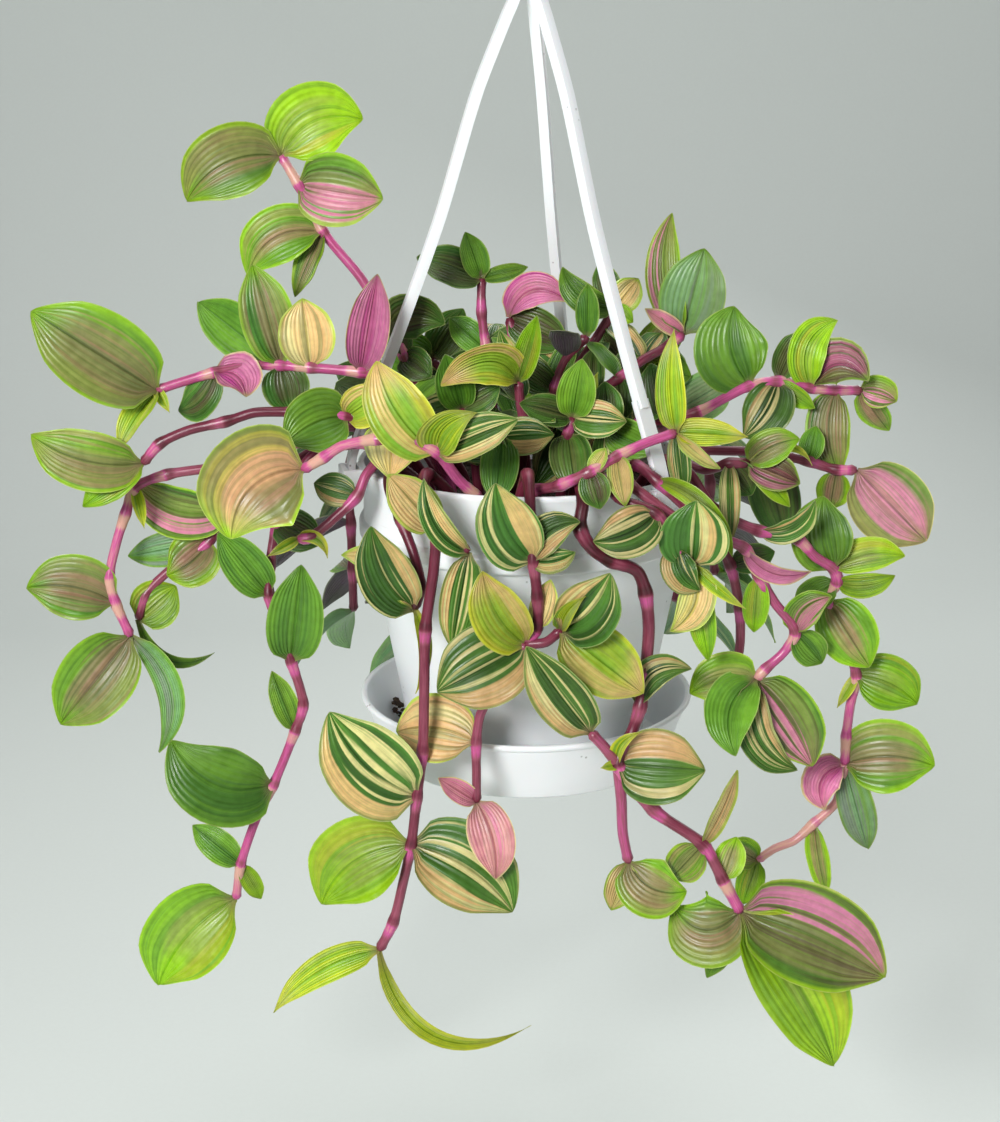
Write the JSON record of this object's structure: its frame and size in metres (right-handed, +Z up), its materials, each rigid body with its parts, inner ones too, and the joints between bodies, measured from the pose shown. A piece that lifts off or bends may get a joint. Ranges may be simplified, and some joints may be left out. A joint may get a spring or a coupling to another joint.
{
  "type": "potted trailing plant in a hanging pot",
  "caption": "Tradescantia with striped green, cream and pink leaves on trailing stems, in a white plastic hanging pot with saucer and strap hanger.",
  "frame": {"origin": "the point inside the top of the hook's bend where the hook bears on what it hangs from", "axes": "+Z up through the hook and the pot's axis, -Y towards the side that faces the viewer in the picture, +X to that viewer's right"},
  "size_m": [0.3954, 0.2441, 0.5069],
  "materials": {
    "white_plastic": "white moulded polypropylene, satin",
    "soil": null,
    "leaf_lime": null,
    "leaf_mauve": null,
    "leaf_stripe": null,
    "leaf_peach": null,
    "leaf_dark": null,
    "leaf_half": null,
    "leaf_green": null,
    "leaf_young": null,
    "leaf_pale": null
  },
  "bodies": {
    "root": {"pot": "white_plastic", "saucer": "white_plastic", "hook": "white_plastic", "strand_left": "white_plastic", "strand_back": "white_plastic", "strand_front": "white_plastic", "soil": "soil", "shoot_01": "leaf_lime", "shoot_02": "leaf_mauve", "shoot_03": "leaf_green", "shoot_04": "leaf_mauve", "shoot_05": "leaf_half", "shoot_06": "leaf_mauve", "shoot_07": "leaf_lime", "shoot_08": "leaf_dark", "shoot_09": "leaf_dark", "shoot_10": "leaf_dark", "shoot_11": "leaf_peach", "shoot_12": "leaf_pale", "shoot_13": "leaf_young", "shoot_14": "leaf_green", "shoot_15": "leaf_half", "shoot_16": "leaf_half", "shoot_17": "leaf_mauve", "shoot_18": "leaf_half", "shoot_19": "leaf_mauve", "shoot_20": "leaf_stripe", "shoot_21": "leaf_half", "shoot_22": "leaf_stripe", "shoot_23": "leaf_stripe", "shoot_24": "leaf_stripe", "shoot_25": "leaf_stripe", "shoot_26": "leaf_lime", "shoot_27": "leaf_stripe", "shoot_28": "leaf_dark", "shoot_29": "leaf_dark", "shoot_30": "leaf_green", "shoot_31": "leaf_green", "shoot_32": "leaf_green", "shoot_33": "leaf_green", "back_01": "leaf_mauve", "back_02": "leaf_stripe", "back_03": "leaf_stripe", "back_04": "leaf_mauve", "back_05": "leaf_mauve", "back_06": "leaf_green"}
  },
  "joints": []
}
